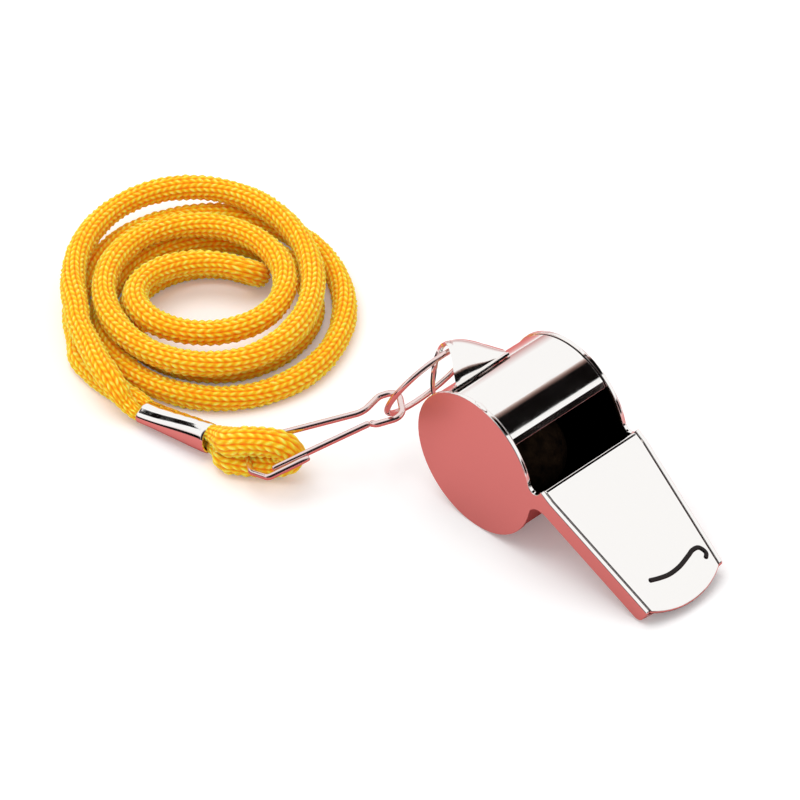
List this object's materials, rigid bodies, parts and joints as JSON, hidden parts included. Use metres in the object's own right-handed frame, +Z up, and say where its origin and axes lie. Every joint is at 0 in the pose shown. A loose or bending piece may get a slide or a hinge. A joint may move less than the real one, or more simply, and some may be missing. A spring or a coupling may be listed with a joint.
{
  "type": "whistle",
  "caption": "Pressed-metal pea whistle with a cork ball, a bail and ring, and a wire clip that holds a crimped, coiled neck lanyard.",
  "frame": {"origin": "on the ground, under the centre of the box round the whistle, its ring and its clip", "axes": "+Z up, +X towards the mouthpiece, +Y across the barrel, away from the lanyard"},
  "size_m": [0.1134, 0.0453, 0.022],
  "materials": {
    "body_chrome": "polished bright plating",
    "bail_chrome": "polished bright plating",
    "ring_chrome": "polished bright plating",
    "wire_chrome": "bright wire",
    "ferrule_chrome": "bright plating, crimp marks",
    "cork": "bare cork",
    "cord": "soft knitted cord, matt"
  },
  "bodies": {
    "whistle": {"side_plate_left": "body_chrome", "side_plate_right": "body_chrome", "barrel_wrap": "body_chrome", "mouthpiece_top": "body_chrome", "bail": "bail_chrome"},
    "pea": {"cork_pea": "cork"},
    "ring": {"ring": "ring_chrome"},
    "clip": {"clip_frame": "wire_chrome"},
    "gate": {"clip_gate": "wire_chrome"},
    "lanyard": {"ferrule": "ferrule_chrome", "ferrule_core": "cord", "lanyard_bight": "cord", "lanyard_strand_low": "cord", "lanyard_strand_high": "cord", "lanyard_coil": "cord"}
  },
  "joints": [
    {"name": "pea_roll", "type": "hinge", "parent": "whistle", "child": "pea", "pos_m": [-0.00066, 0.00861, 0.0105], "axis": [0, 1, 0], "continuous": true},
    {"name": "ring_swing", "type": "hinge", "parent": "whistle", "child": "ring", "pos_m": [-0.01059, 0.00424, 0.02063], "axis": [0, 1, 0], "range_deg": [-14, 90]},
    {"name": "clip_swing", "type": "hinge", "parent": "ring", "child": "clip", "pos_m": [-0.01625, -0.00041, 0.00979], "axis": [0.3076, -0.7478, 0.5884], "range_deg": [-45, 45]},
    {"name": "gate_spring", "type": "hinge", "parent": "clip", "child": "gate", "pos_m": [-0.01812, -0.00353, 0.00868], "axis": [0.1532, 0.249, -0.9563], "range_deg": [0, 6], "stiffness_Nm_per_rad": 0.05},
    {"name": "lanyard_swing", "type": "hinge", "parent": "clip", "child": "lanyard", "pos_m": [-0.02834, -0.01565, 0.00388], "axis": [-0.8517, 0.524, 0], "range_deg": [-50, 25]}
  ]
}
